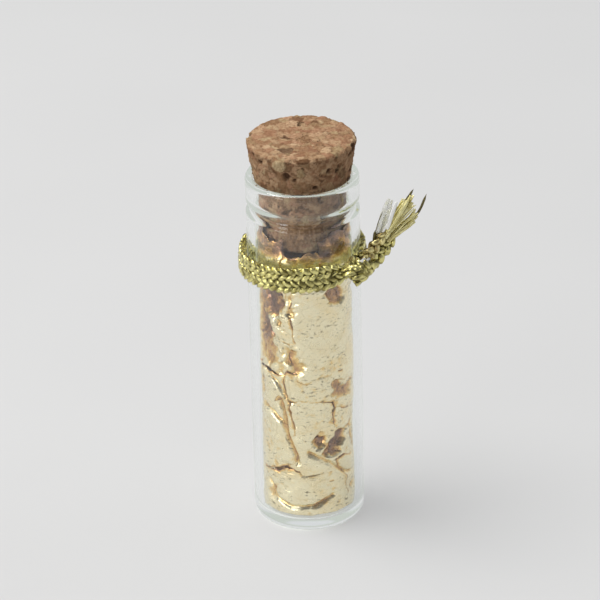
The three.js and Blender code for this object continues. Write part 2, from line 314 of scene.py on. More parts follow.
def joined(parts):
    """Several (vertices, faces, ...) as one (vertices, faces)."""
    vertices, faces, first = [], [], 0
    for part_vertices, part_faces, *_ in parts:
        vertices.append(part_vertices)
        faces += [tuple(first + i for i in face) for face in part_faces]
        first += len(part_vertices)
    return np.concatenate(vertices), faces


# ---------------------------------------------------------------- materials

def new_material(name):
    """A material, its node tree and its Principled shader."""
    material = bpy.data.materials.new(name)
    material.use_nodes = True
    tree = material.node_tree
    return material, tree, tree.nodes["Principled BSDF"]


def add_node(tree, kind, inputs=None, **settings):
    node = tree.nodes.new(kind)
    for key, value in settings.items():
        setattr(node, key, value)
    for key, value in (inputs or {}).items():
        if isinstance(value, bpy.types.NodeSocket):
            tree.links.new(value, node.inputs[key])
        else:
            node.inputs[key].default_value = value
    return node


def object_place(tree):
    return add_node(tree, "ShaderNodeTexCoord").outputs["Object"]


def scaled(tree, place, scale):
    return add_node(tree, "ShaderNodeMapping", {"Vector": place, "Scale": scale}).outputs[0]


def calculated(tree, operation, a, b):
    return add_node(tree, "ShaderNodeMath", {0: a, 1: b}, operation=operation).outputs[0]


def noise_value(tree, place, size_mm, detail=4, stretch=(1, 1, 1), roughness=0.5):
    """Noise whose blobs are about size_mm across, in object space."""
    texture = add_node(tree, "ShaderNodeTexNoise", {
        "Vector": scaled(tree, place, stretch), "Scale": 1 / (size_mm * MM),
        "Detail": detail, "Roughness": roughness,
    })
    return texture.outputs[0]


def ramp(tree, factor, *stops):
    node = add_node(tree, "ShaderNodeValToRGB", {"Fac": factor})
    elements = node.color_ramp.elements
    while len(elements) < len(stops):
        elements.new(0.5)
    for element, (position, colour) in zip(elements, stops):
        element.position = position
        element.color = (*colour, 1)
    return node.outputs[0]


def mix_colours(tree, factor, a, b, blend_type="MIX"):
    node = add_node(tree, "ShaderNodeMix", data_type="RGBA", blend_type=blend_type)
    for socket, value in ((node.inputs[0], factor), (node.inputs[6], a), (node.inputs[7], b)):
        if isinstance(value, bpy.types.NodeSocket):
            tree.links.new(value, socket)
        elif isinstance(value, (int, float)):
            socket.default_value = value
        else:
            socket.default_value = (*value, 1)
    return node.outputs[2]


def value_range(tree, value, low, high, new_low, new_high):
    node = add_node(tree, "ShaderNodeMapRange", {
        "Value": value, "From Min": low, "From Max": high, "To Min": new_low, "To Max": new_high,
    })
    return node.outputs[0]


def add_bump(tree, shader, height, strength, distance_mm, before=None):
    inputs = {"Height": height, "Strength": strength, "Distance": distance_mm * MM}
    if before is not None:
        inputs["Normal"] = before
    bump = add_node(tree, "ShaderNodeBump", inputs)
    tree.links.new(bump.outputs[0], shader.inputs["Normal"])
    return bump.outputs[0]


def glass_material():
    """Clear glass that lets the lamps' light through, with faint smears. A ray more than four bounces
    deep inside it ends on a painted pale green glow, an emission in place of light caught in the glass."""
    material, tree, shader = new_material("clear_glass")
    place = object_place(tree)
    shader.inputs["Base Color"].default_value = (0.98, 0.992, 0.98, 1)
    shader.inputs["Transmission Weight"].default_value = 1
    shader.inputs["IOR"].default_value = 1.47
    smear = noise_value(tree, place, 6, stretch=(1, 1, 0.35))
    tree.links.new(value_range(tree, smear, 0.45, 0.75, 0, 0.05), shader.inputs["Roughness"])
    add_bump(tree, shader, noise_value(tree, place, 9, detail=1), 0.12, 0.3)
    path = add_node(tree, "ShaderNodeLightPath")
    caught = calculated(tree, "GREATER_THAN", path.outputs["Ray Depth"], 4.5)
    # Painted glow: a pale green emission shown instead of the glass to rays more than four bounces deep.
    painted_glow = add_node(tree, "ShaderNodeEmission", {"Color": (0.56, 0.60, 0.55, 1)})
    inner = add_node(tree, "ShaderNodeMixShader", {0: caught})
    tree.links.new(shader.outputs[0], inner.inputs[1])
    tree.links.new(painted_glow.outputs[0], inner.inputs[2])
    clear = add_node(tree, "ShaderNodeBsdfTransparent", {"Color": (0.97, 0.99, 0.97, 1)})
    mix = add_node(tree, "ShaderNodeMixShader", {0: path.outputs["Is Shadow Ray"]})
    tree.links.new(inner.outputs[0], mix.inputs[1])
    tree.links.new(clear.outputs[0], mix.inputs[2])
    tree.links.new(mix.outputs[0], tree.nodes["Material Output"].inputs["Surface"])
    return material


def leaf_material():
    """Gold leaf: pale where it lies on the glass, with painted amber and brown shade where it sinks away
    from it, clusters of painted dark specks for the shade of tiny wrinkles, and fine creases with a line
    of painted shade. The mesh's grey colour attribute is darkest where the leaf lies on the glass and
    brighter the further it sinks: it says how much painted shade goes there."""
    material, tree, shader = new_material("gold_leaf")
    place = object_place(tree)
    sink_shade = add_node(tree, "ShaderNodeAttribute", attribute_name="sink_shade").outputs["Color"]
    channels = add_node(tree, "ShaderNodeSeparateColor", {"Color": sink_shade})
    patches = ramp(
        tree, noise_value(tree, place, 4.5, detail=3),
        (0.36, (0.97, 0.83, 0.55)), (0.52, (0.99, 0.88, 0.62)), (0.66, (0.97, 0.81, 0.51)),
    )
    blotches = noise_value(tree, place, 0.8, detail=4)
    # Painted shade: the leaf turns amber, then dark brown, the further it sinks from the glass.
    shade_amount = calculated(tree, "ADD", channels.outputs[0], value_range(tree, blotches, 0.3, 0.7, -0.14, 0.14))
    deep = ramp(
        tree, shade_amount,
        (0.06, (0.97, 0.80, 0.47)), (0.26, (0.90, 0.62, 0.26)), (0.46, (0.64, 0.37, 0.16)),
        (0.64, (0.35, 0.20, 0.13)), (0.9, (0.18, 0.115, 0.10)),
    )
    colour = mix_colours(tree, value_range(tree, shade_amount, 0.06, 0.22, 0, 1), patches, deep)
    # Painted shade: clusters of dark specks that stand for the shade of tiny wrinkles in the leaf.
    flecks = noise_value(tree, place, 0.4, detail=5, stretch=(0.75, 0.75, 1.5), roughness=0.6)
    clusters = noise_value(tree, place, 3.2, detail=2)
    speck_shade_share = calculated(
        tree, "MULTIPLY",
        value_range(tree, flecks, 0.575, 0.635, 0, 0.85), value_range(tree, clusters, 0.47, 0.57, 0.02, 1),
    )
    speck_shaded = mix_colours(tree, speck_shade_share, colour, (0.26, 0.21, 0.12))
    cells = add_node(tree, "ShaderNodeTexVoronoi", {
        "Vector": scaled(tree, place, (0.8, 0.8, 1.25)), "Scale": 1 / (2.6 * MM),
    }, feature="DISTANCE_TO_EDGE").outputs[0]
    # Painted shade: a thin darker line along the cell edges, where the leaf creases.
    crease_shade = value_range(tree, cells, 0.0, 0.018, 0.22, 0)
    tree.links.new(mix_colours(tree, crease_shade, speck_shaded, (0.52, 0.37, 0.17)), shader.inputs["Base Color"])
    shader.inputs["Metallic"].default_value = 1
    silk = noise_value(tree, place, 1.2, detail=5)
    tree.links.new(value_range(tree, silk, 0.3, 0.7, 0.16, 0.32), shader.inputs["Roughness"])
    wrinkles = noise_value(tree, place, 0.5, detail=6, stretch=(0.6, 0.6, 1.7), roughness=0.6)
    broad = add_bump(tree, shader, noise_value(tree, place, 2.4, detail=2), 0.3, 0.5)
    sharp = add_bump(tree, shader, value_range(tree, cells, 0.0, 0.05, 0, 1), 0.3, 0.05, before=broad)
    add_bump(tree, shader, wrinkles, 0.24, 0.17, before=sharp)
    return material


def cork_material():
    """Agglomerated cork: granules of many browns from the mesh's own colours, with pores and dust.
    The mesh's "granule" colours hold (tone, kind, crevice darkness). The crevice darkness is partly the
    dark joints between granules and partly painted shade in cracks, pits and empty granule holes."""
    material, tree, shader = new_material("agglomerated_cork")
    place = object_place(tree)
    granule = add_node(tree, "ShaderNodeAttribute", attribute_name="granule")
    channels = add_node(tree, "ShaderNodeSeparateColor", {"Color": granule.outputs["Color"]})
    tone, kind, crevice_shade = channels.outputs[0], channels.outputs[1], channels.outputs[2]
    grain = noise_value(tree, place, 0.42, detail=6, roughness=0.65)
    browns = ramp(
        tree, tone,
        (0.0, (0.17, 0.09, 0.045)), (0.3, (0.31, 0.185, 0.10)), (0.6, (0.41, 0.265, 0.155)),
        (0.85, (0.50, 0.345, 0.21)), (1.0, (0.60, 0.45, 0.28)),
    )
    reds = mix_colours(tree, value_range(tree, kind, 0.6, 1, 0, 0.5), browns, (0.36, 0.175, 0.105))
    greens = mix_colours(tree, value_range(tree, kind, 0.25, 0.05, 0, 0.5), reds, (0.42, 0.34, 0.19))
    grained = mix_colours(
        tree, value_range(tree, grain, 0.36, 0.60, 0.75, 0.0), greens, (0.62, 0.50, 0.42), "MULTIPLY")
    pores = noise_value(tree, place, 0.3, detail=4, roughness=0.6)
    pored = mix_colours(tree, value_range(tree, pores, 0.60, 0.68, 0, 0.78), grained, (0.10, 0.05, 0.03))
    # Dark joints and painted shade: the crevice darkness takes cracks, pits and holes almost to black.
    colour = mix_colours(tree, crevice_shade, pored, (0.06, 0.028, 0.014))
    tree.links.new(colour, shader.inputs["Base Color"])
    shader.inputs["Roughness"].default_value = 0.92
    shader.inputs["Specular IOR Level"].default_value = 0.15
    broad = add_bump(tree, shader, grain, 0.6, 0.16)
    add_bump(tree, shader, pores, 0.4, 0.08, before=broad)
    return material


def braid_material(name, bright, dark, roughness, metallic):
    """Metallised strands, with fine threads along them, and painted shade where they go under one another.
    The mesh's "lift" colours say how far up a strand lies, which sets how much painted shade it gets."""
    material, tree, shader = new_material(name)
    place = object_place(tree)
    uv = add_node(tree, "ShaderNodeUVMap", uv_map="strand")
    threads = add_node(tree, "ShaderNodeTexNoise", {
        "Vector": scaled(tree, uv.outputs[0], (1.2, 26, 1)), "Scale": 1, "Detail": 3,
    })
    lift = add_node(tree, "ShaderNodeAttribute", attribute_name="lift").outputs["Fac"]
    patches = noise_value(tree, place, 0.9, detail=3)
    shade = mix_colours(tree, value_range(tree, threads.outputs[0], 0.35, 0.6, 0.6, 0), bright, dark)
    tint = mix_colours(tree, value_range(tree, patches, 0.46, 0.62, 0, 0.8), shade, dark)
    # Painted shade: low-lying parts of a strand darken towards a third of its dark colour.
    under_shaded = mix_colours(tree, value_range(tree, lift, 0.52, 0.84, 1, 0), tint, tuple(0.3 * c for c in dark))
    tree.links.new(under_shaded, shader.inputs["Base Color"])
    shader.inputs["Metallic"].default_value = metallic
    polish = value_range(tree, patches, 0.3, 0.7, roughness, roughness + 0.14)
    tree.links.new(polish, shader.inputs["Roughness"])
    add_bump(tree, shader, threads.outputs[0], 0.5, 0.06)
    return material


def film_material(name, pale, shaded, clearness):
    """Strips of clear or milky film from the cord's core."""
    material, tree, shader = new_material(name)
    place = object_place(tree)
    streaks = noise_value(tree, place, 0.3, detail=3, stretch=(1, 1, 0.3))
    tree.links.new(ramp(tree, streaks, (0.4, pale), (0.65, shaded)), shader.inputs["Base Color"])
    tree.links.new(value_range(tree, streaks, 0.4, 0.7, 0.12, 0.3), shader.inputs["Roughness"])
    shader.inputs["Transmission Weight"].default_value = clearness
    shader.inputs["IOR"].default_value = 1.15
    return material


def floor_material():
    """A pale light table: it glows a little, which keeps shadows soft and faint."""
    material, tree, shader = new_material("pale_floor")
    place = object_place(tree)
    shade = ramp(
        tree, noise_value(tree, place, 60, detail=2),
        (0.3, (0.275, 0.275, 0.275)), (0.7, (0.29, 0.29, 0.29)),
    )
    tree.links.new(shade, shader.inputs["Base Color"])
    shader.inputs["Emission Color"].default_value = (1, 1, 1, 1)
    shader.inputs["Emission Strength"].default_value = 0.37
    shader.inputs["Roughness"].default_value = 0.8
    shader.inputs["Specular IOR Level"].default_value = 0.1
    return material


# ---------------------------------------------------------------- camera

def add_camera():
    forward = Vector((0, math.cos(CAMERA_ELEVATION), -math.sin(CAMERA_ELEVATION)))
    place = CAMERA_TARGET - forward * CAMERA_DISTANCE
    level_up = Vector((1, 0, 0)).cross(forward)
    turn = Matrix.Rotation(CAMERA_ROLL, 3, -forward)
    right, up = turn @ Vector((1, 0, 0)), turn @ level_up
    backward = -(forward + right * CAMERA_AIM_RIGHT + up * CAMERA_AIM_UP).normalized()
    side = up.cross(backward).normalized()
    axes = Matrix((side, backward.cross(side), backward)).transposed()
    data = bpy.data.cameras.new("camera")
    data.lens = CAMERA_LENS
    data.clip_start = 0.01
    camera = bpy.data.objects.new("camera", data)
    camera.matrix_world = Matrix.Translation(place) @ axes.to_4x4()
    bpy.context.scene.collection.objects.link(camera)
    bpy.context.scene.camera = camera


# ---------------------------------------------------------------- cord

def strand_section():
    """A rounded box, with a flat face that glints."""
    angles = np.arange(STRAND_SIDES) * TURN / STRAND_SIDES
    across, up = np.cos(angles), np.sin(angles)
    return np.stack([np.sign(across) * np.abs(across) ** 0.7, np.sign(up) * np.abs(up) ** 0.6], axis=1)


def braid_strands(route, outward, width, strands, columns, period, thickness):
    """The strands of a flat braid along a route, each (vertices, faces, lift of each vertex).

    A strand runs from edge to edge and back. It lies over the others in every second column on
    the way out and under them on the way back, which gives columns of herringbone.
    """
    along = np.concatenate([[0], np.cumsum(np.linalg.norm(np.diff(route, axis=0), axis=1))])
    across = unit(np.cross(outward, np.gradient(route, axis=0)))
    full = width.max()
    section = strand_section()
    rng = np.random.default_rng(1)
    parts = []
    for number in range(strands):
        phase = along / period + number / strands
        place = np.arcsin(0.985 * np.sin(TURN * phase)) / math.pi
        heading = np.sign(np.cos(TURN * phase))
        wave = heading * np.sin(columns * math.pi * (place + 0.5))
        over = np.sign(wave) * np.abs(wave) ** 0.7
        centre = (
            route
            + across * (place * 0.9 * width)[:, None]
            + outward * (0.3 * thickness * over)[:, None]
        )
        travel = unit(np.gradient(centre, axis=0))
        level = unit(np.cross(outward, travel))
        upright = np.cross(travel, level)
        knots = max(3, round(along[-1] / STRAND_LOOSENESS))
        twists = rng.normal(0, STRAND_TWIST, knots)
        twist = np.interp(along, np.linspace(0, along[-1], knots), twists)[:, None]
        side = level * np.cos(twist) + upright * np.sin(twist)
        face = upright * np.cos(twist) - level * np.sin(twist)
        pitch = period * math.sin(math.atan2(2 * full, period)) / strands
        half_width = (0.5 + 0.06 * over) * pitch * width / full
        half_thickness = thickness * (0.24 + 0.07 * over)
        tube = sweep(centre, side, face, half_width, half_thickness, section)
        # How far up each vertex lies, which the material turns into painted shade under crossing strands.
        lift = (0.5 + 0.5 * np.abs(over))[:, None] * (0.55 + 0.45 * np.abs(section[None, :, 1]))
        parts.append((*tube, lift.ravel()))
    return parts


def add_strand_uvs(piece, lengths):
    """Maps each strand along (u, in millimetres) and across (v, round its section)."""
    mesh = piece.data
    vertex_uv = np.zeros((len(mesh.vertices), 2), np.float32)
    first = 0
    for number, rings in enumerate(lengths):
        count = rings * STRAND_SIDES
        ring, side = np.divmod(np.arange(count), STRAND_SIDES)
        vertex_uv[first:first + count, 0] = ring * BRAID_STEP + 7.3 * number
        vertex_uv[first:first + count, 1] = np.abs(side / STRAND_SIDES * 2 - 1)
        first += count
    corners = np.zeros(len(mesh.loops), np.int32)
    mesh.loops.foreach_get("vertex_index", corners)
    layer = mesh.uv_layers.new(name="strand")
    layer.data.foreach_set("uv", vertex_uv[corners].ravel())


def braid_piece(name, parts, material, nodes):
    vertices, faces = joined(parts)
    piece = make_piece(name, vertices, faces, material, "tie", nodes)
    add_strand_uvs(piece, [len(part[0]) // STRAND_SIDES for part in parts])
    lift = np.concatenate([part[2] for part in parts])
    add_colours(piece, "lift", np.stack([lift, lift, lift], axis=1))
    return piece


def band_route():
    """The loop from the knot round the back and the front to the knot, with its outward normals."""
    start, end = KNOT_ANGLE + KNOT_REACH, KNOT_ANGLE + TURN - KNOT_REACH
    angles = np.linspace(start, end, round(TURN * BAND_RADIUS / BRAID_STEP))
    spokes = np.stack([np.cos(angles), np.sin(angles), np.zeros_like(angles)], axis=1)
    route, outward = spokes * BAND_RADIUS, unit(spokes + [0, 0, BAND_LEAN])
    tilt = np.array(Matrix.Rotation(-BAND_TILT, 3, "Y"))
    route, outward = route @ tilt.T + BAND_CENTRE, outward @ tilt.T
    travelled = (angles - angles[0]) / (angles[-1] - angles[0])
    share = np.minimum(travelled, 1 - travelled) * TURN * BAND_RADIUS
    pull = np.clip(1 - share / 3.4, 0, 1) ** 2
    route += outward * (0.75 * pull)[:, None]
    route[:, 2] += (KNOT_CENTRE[2] - route[:, 2]) * 0.8 * pull
    width = BAND_WIDTH * (1 - 0.62 * pull)
    return route, outward, width


def bent_outward(route, reference):
    """Normals of a route that stay as near as they can to a reference direction."""
    travel = unit(np.gradient(route, axis=0))
    return unit(reference - travel * (travel @ reference)[:, None])


def knot_route():
    """Two and a half turns round the knot, wound about the line on which the ends leave."""
    axis = unit(np.array(UPPER_END[1]) + np.array(LOWER_END[1]) - 2 * KNOT_CENTRE)
    first = unit(np.cross(axis, [0, 0, 1]))
    second = np.cross(axis, first)
    turns = np.linspace(0, 2.6 * TURN, 170)
    spread = np.linspace(-1.5, 1.15, len(turns))
    size = 1.22 - 0.2 * (spread / 1.5) ** 2
    spokes = first * np.cos(turns)[:, None] + second * np.sin(turns)[:, None]
    lean = 0.75 * np.sin(turns)
    route = KNOT_CENTRE + axis * (spread + lean)[:, None] + spokes * size[:, None]
    return route, spokes


def ribbon(points, half_width, facing, tip_share):
    """A narrow flat strip along a smooth line, which narrows to a share of its width at its tip."""
    route = smooth_route(points, 0.22)
    outward = bent_outward(route, unit(np.asarray(facing, float)))
    across = np.cross(outward, unit(np.gradient(route, axis=0)))
    shares = np.linspace(0, 1, len(route))
    taper = half_width * np.interp(shares, [0, 0.2, 0.8, 1], [0.75, 1, 1, tip_share])
    angles = np.arange(6) * TURN / 6
    section = np.stack([np.cos(angles), np.sin(angles)], axis=1)
    return sweep(route, across, outward, taper, np.full(len(route), THREAD_HALF_THICKNESS), section)


def thread_fan(root, tips, seed):
    """Flat metallised threads from a cut end, fanned out over a line of tips."""
    rng = np.random.default_rng(seed)
    root, tips = np.array(root), np.array(tips)
    parts = []
    for number in range(THREADS_PER_END):
        share = (number + rng.uniform(0, 0.9)) / THREADS_PER_END * (len(tips) - 1)
        low = min(int(share), len(tips) - 2)
        tip = tips[low] + (tips[low + 1] - tips[low]) * (share - low)
        start = root + rng.normal(0, 1, 3) * [0.16, 0.28, 0.16]
        tip = start + (tip - start) * rng.uniform(0.82, 1.0) + rng.normal(0, 1, 3) * [0.1, 0.35, 0.1]
        bend = (start + tip) / 2 + rng.normal(0, 1, 3) * [0.14, 0.2, 0.14]
        facing = [rng.normal(0, 0.5), -1, rng.normal(0, 0.5)]
        parts.append(ribbon([start, bend, tip], rng.uniform(0.09, 0.2), facing, rng.uniform(0.1, 0.8)))
    return parts


def tail(name, points, material, size):
    """One of the cord's two ends, from the knot to where it frays."""
    way = smooth_route([KNOT_CENTRE, *points], BRAID_STEP)
    facing = bent_outward(way, unit(np.array([0.35, -1.0, 0.15])))
    swell = np.interp(np.linspace(0, 1, len(way)), [0, 0.35, 0.6, 0.8, 1], [0.8, 1.1, 0.95, 0.9, 0.4])
    parts = braid_strands(way, facing, size * swell, 3, 2, 3.9, 1.1)
    return braid_piece(f"cord_tail_{name}", parts, material, [f"cord_end_{name}"])


def add_cord():
    bright_braid = braid_material("gold_braid", (0.93, 0.86, 0.36), (0.19, 0.155, 0.035), 0.08, 0.84)
    brown_braid = braid_material("tarnished_braid", (0.98, 0.88, 0.42), (0.30, 0.20, 0.06), 0.12, 0.72)
    loose = braid_material("gold_threads", (0.98, 0.92, 0.50), (0.72, 0.63, 0.24), 0.28, 0.4)
    tarnished = braid_material("dark_threads", (0.24, 0.20, 0.08), (0.05, 0.04, 0.015), 0.3, 0.8)

    route, outward, width = band_route()
    loop = braid_strands(route, outward, width, strands=9, columns=4, period=8.9, thickness=0.74)
    band = braid_piece("cord_braid", loop, bright_braid, ["cord_band"])

    wound, spokes = knot_route()
    turns = braid_strands(wound, spokes, np.full(len(wound), 2.0), 5, 2, 5.0, 1.0)
    knot = braid_piece("cord_knot_turns", turns, bright_braid, ["cord_knot"])
    tails = [
        tail("upper", UPPER_END, brown_braid, 1.3),
        tail("lower", LOWER_END, bright_braid, 1.75),
    ]

    upper_fan = thread_fan(UPPER_FRAY, UPPER_TIPS, 4)
    lower_fan = thread_fan(LOWER_FRAY, LOWER_TIPS, 9)
    dark_tips = [ribbon(line, half, FACING, 0.05) for half, line in DARK_TIPS]
    pieces = [
        knot, *tails,
        add_threads("cord_threads_upper", upper_fan, loose, ["cord_fray_upper"]),
        add_threads("cord_threads_lower", lower_fan, loose, ["cord_fray_lower"]),
        add_threads("cord_dark_tips", dark_tips, tarnished),
        add_film("cord_core_clear", CLEAR_STRIPS, film_material(
            "clear_film", (1.0, 1.0, 0.97), (0.93, 0.92, 0.78), 0.45)),
        add_film("cord_core_white", WHITE_STRIPS, film_material(
            "milky_film", (1.0, 1.0, 0.98), (0.92, 0.92, 0.86), 0.0)),
    ]


def add_threads(name, parts, material, nodes=()):
    vertices, faces = joined(parts)
    piece = make_piece(name, vertices, faces, material, "tie", nodes)
    piece.data.uv_layers.new(name="strand")
    add_colours(piece, "lift", np.ones((len(vertices), 3)))
    return piece


def add_film(name, strips, material):
    vertices, faces = joined([ribbon(line, half, FACING, 0.6) for half, line in strips])
    return make_piece(name, vertices, faces, material, "tie")


# ---------------------------------------------------------------- glass

def arc(centre, radius, start, end, steps=ARC_STEPS):
    angles = np.linspace(math.radians(start), math.radians(end), steps + 1)
    return [(centre[0] + radius * math.cos(a), centre[1] + radius * math.sin(a)) for a in angles]


def ease(start, end):
    """A smooth S from one (radius, height) point to another, upright at both ends."""
    shares = np.linspace(0, 1, ARC_STEPS + 1)
    swing = shares * shares * (3 - 2 * shares)
    return [
        (start[0] + (end[0] - start[0]) * s, start[1] + (end[1] - start[1]) * t)
        for s, t in zip(swing, shares)
    ]


def wall(radius, start, end):
    return [(radius, z) for z in np.linspace(start, end, 24)]


def add_glass():
    groove = VIAL_RADIUS - GROOVE_DEPTH
    floor_corner = BORE_RADIUS - FLOOR_ROUND
    profile = [
        (0, 0),
        (FLOOR_RING, 0),
        *arc((VIAL_RADIUS - FOOT_ROUND, FOOT_ROUND), FOOT_ROUND, -90, 0),
        *wall(VIAL_RADIUS, FOOT_ROUND + 2, GROOVE_HEIGHT - GROOVE_REACH - 1),
        *ease((VIAL_RADIUS, GROOVE_HEIGHT - GROOVE_REACH), (groove, GROOVE_HEIGHT)),
        *ease((groove, GROOVE_HEIGHT), (VIAL_RADIUS, GROOVE_HEIGHT + GROOVE_REACH))[1:],
        *arc((VIAL_RADIUS - LIP_OUTER_ROUND, VIAL_HEIGHT - LIP_OUTER_ROUND), LIP_OUTER_ROUND, 0, 90),
        *arc((BORE_RADIUS + LIP_INNER_ROUND, VIAL_HEIGHT - LIP_INNER_ROUND), LIP_INNER_ROUND, 90, 180, 6),
        *ease((BORE_RADIUS, GROOVE_HEIGHT + NECK_REACH), (NECK_RADIUS, GROOVE_HEIGHT)),
        *ease((NECK_RADIUS, GROOVE_HEIGHT), (BORE_RADIUS, GROOVE_HEIGHT - NECK_REACH))[1:],
        *wall(BORE_RADIUS, GROOVE_HEIGHT - NECK_REACH - 2, FLOOR_THICKNESS + FLOOR_ROUND + 2),
        *arc((floor_corner, FLOOR_THICKNESS + FLOOR_ROUND), FLOOR_ROUND, 0, -90),
        (FLOOR_RING, FLOOR_THICKNESS),
        (0, FLOOR_THICKNESS),
    ]
    angles = np.arange(GLASS_SEGMENTS) * TURN / GLASS_SEGMENTS
    rings = [
        np.stack([r * np.cos(angles), r * np.sin(angles), np.full_like(angles, z)], axis=1)
        for r, z in profile[1:-1]
    ]
    vertices = np.concatenate([*rings, [[0, 0, 0], [0, 0, FLOOR_THICKNESS]]])
    faces = grid_faces(len(rings), GLASS_SEGMENTS, closed=True)
    under, above = len(vertices) - 2, len(vertices) - 1
    last = (len(rings) - 1) * GLASS_SEGMENTS
    for i in range(GLASS_SEGMENTS):
        after = (i + 1) % GLASS_SEGMENTS
        faces.append((under, after, i))
        faces.append((above, last + i, last + after))
    make_piece("glass_tube", vertices, faces, glass_material(), "vial", ["glass_vial"])


# ---------------------------------------------------------------- cork

def cork_surface():
    """Points all over the tapered cork as a grid of rings, from the middle of its base to its top."""
    outline = [
        (0.05, CORK_LOW),
        (CORK_BOTTOM_RADIUS - CORK_EDGE, CORK_LOW),
        (CORK_BOTTOM_RADIUS, CORK_LOW + CORK_EDGE),
        (CORK_TOP_RADIUS, CORK_HIGH - CORK_EDGE),
        (CORK_TOP_RADIUS - CORK_EDGE, CORK_HIGH),
        (0.05, CORK_HIGH),
    ]
    profile = [outline[0]]
    for start, end in zip(outline, outline[1:]):
        steps = max(2, round(math.dist(start, end) / CORK_SPACING))
        for i in range(1, steps + 1):
            profile.append(tuple(a + (b - a) * i / steps for a, b in zip(start, end)))
    segments = round(TURN * CORK_TOP_RADIUS / CORK_SPACING)
    angles = np.arange(segments) * TURN / segments
    return np.array([
        [(r * math.cos(a), r * math.sin(a), z) for a in angles] for r, z in profile
    ]), segments


def cork_seeds(rng):
    """The granules' middles, all over the cork, with a KD-tree to find the nearest ones."""
    count = round(math.pi * CORK_TOP_RADIUS**2 * (CORK_HIGH - CORK_LOW) / CORK_GRANULE**3)
    seeds = rng.uniform(-1, 1, (count, 3)) * (CORK_TOP_RADIUS + 0.3)
    seeds[:, 2] = rng.uniform(CORK_LOW - 0.3, CORK_HIGH + 0.3, count)
    tree = kdtree.KDTree(count)
    for i, seed in enumerate(seeds):
        tree.insert(Vector(seed), i)
    tree.balance()
    return seeds, tree


def cork_spot(angle, height, *_):
    """A place on the cork's side."""
    share = (height - CORK_LOW) / (CORK_HIGH - CORK_LOW)
    radius = CORK_BOTTOM_RADIUS + (CORK_TOP_RADIUS - CORK_BOTTOM_RADIUS) * share
    turn = math.radians(angle)
    return Vector((radius * math.cos(turn), radius * math.sin(turn), height))


def cork_normal(place):
    """Which way is out: up or down on the flat ends, outward on the side, and between them at an edge."""
    middle = (CORK_LOW + CORK_HIGH) / 2
    vertical = Vector((0, 0, math.copysign(1, place.z - middle)))
    if place.z > CORK_HIGH - 0.01 or place.z < CORK_LOW + 0.01:
        return vertical
    radial = Vector((place.x, place.y, 0)).normalized()
    if abs(place.z - middle) / (CORK_HIGH - middle) > 0.95:
        return (radial + vertical * 0.8).normalized()
    return radial


def add_cork():
    """The cork, with granules that stand proud or sit low, crevices between them and chipped edges."""
    noise.seed_set(21)
    rng = np.random.default_rng(21)
    surface, segments = cork_surface()
    points = surface.reshape(-1, 3)
    seeds, tree = cork_seeds(rng)
    tones, kinds = rng.beta(2.6, 2.2, len(seeds)), rng.uniform(0, 1, len(seeds))
    reliefs = rng.normal(0, 0.05, len(seeds))
    missing = rng.uniform(0, 1, len(seeds)) < 0.03
    pits = [(cork_spot(*pit), pit[2], pit[3]) for pit in CORK_PITS]
    knob = cork_spot(*CORK_KNOB)
    moved = points.copy()
    colours = np.zeros((len(points), 3))
    for i, point in enumerate(points):
        place = Vector(point)
        warp = noise.noise_vector(place * 0.9) * 0.4 + noise.noise_vector(place * 3.1) * 0.18
        (_, first, near), (_, _, far) = tree.find_n(place + warp, 2)
        border = far - near
        crack = math.exp(-((border / 0.09) ** 2)) * (0.1 + 0.9 * noise.cell(Vector(seeds[first])) ** 2)
        side = 1 if place.z < CORK_HIGH - 0.01 else 0.35
        rough = (0.05 + 0.04 * side) * noise.fractal(place * 2.4, 0.6, 2.1, 4)
        hole = 0.35 * min(1, border / 0.3) if missing[first] else 0
        # Dark joints between granules, with painted shade in the cracks, stronger on the side than on top,
        # and in empty granule holes.
        dark = 0.8 * crack * (0.35 + 0.65 * side) + (0.7 if hole else 0)
        for spot, reach, depth in pits:
            share = max(0, 1 - (place + warp * 0.8 - spot).length / reach)
            hole = max(hole, depth * min(1, share * 2))
            # Painted shade in the pits.
            dark = max(dark, min(0.95, share * 2.2))
        # The side is darker than the top: partly its rougher cut surface, partly painted shade of the light
        # from above.
        tone = tones[first] - 0.12 * side + 0.14 * noise.noise(place * 2.6)
        kind = kinds[first]
        bulge = min(1, 2.5 * max(0, 1 - (place + warp * 0.3 - knob).length / CORK_KNOB[2]))
        if bulge > 0.4:
            tone, kind, dark = 0.9, 0.04, 0
        relief = reliefs[first] * min(1, border / 0.25) + rough - 0.12 * crack - hole + CORK_KNOB[3] * bulge
        moved[i] = place + cork_normal(place) * relief
        colours[i] = (tone, kind, min(1, dark))
    faces = grid_faces(len(surface), segments, closed=True)
    bottom, top = len(moved), len(moved) + 1
    moved = np.concatenate([moved, [[0, 0, CORK_LOW], [0, 0, CORK_HIGH]]])
    colours = np.concatenate([colours, colours[:1], colours[-1:]])
    last = (len(surface) - 1) * segments
    for i in range(segments):
        after = (i + 1) % segments
        faces.append((bottom, after, i))
        faces.append((top, last + i, last + after))
    cork = make_piece("cork_plug", moved, faces, cork_material(), "stopper", ["cork_stopper"])
    add_colours(cork, "granule", colours.clip(0, 1))


# ---------------------------------------------------------------- gold leaf

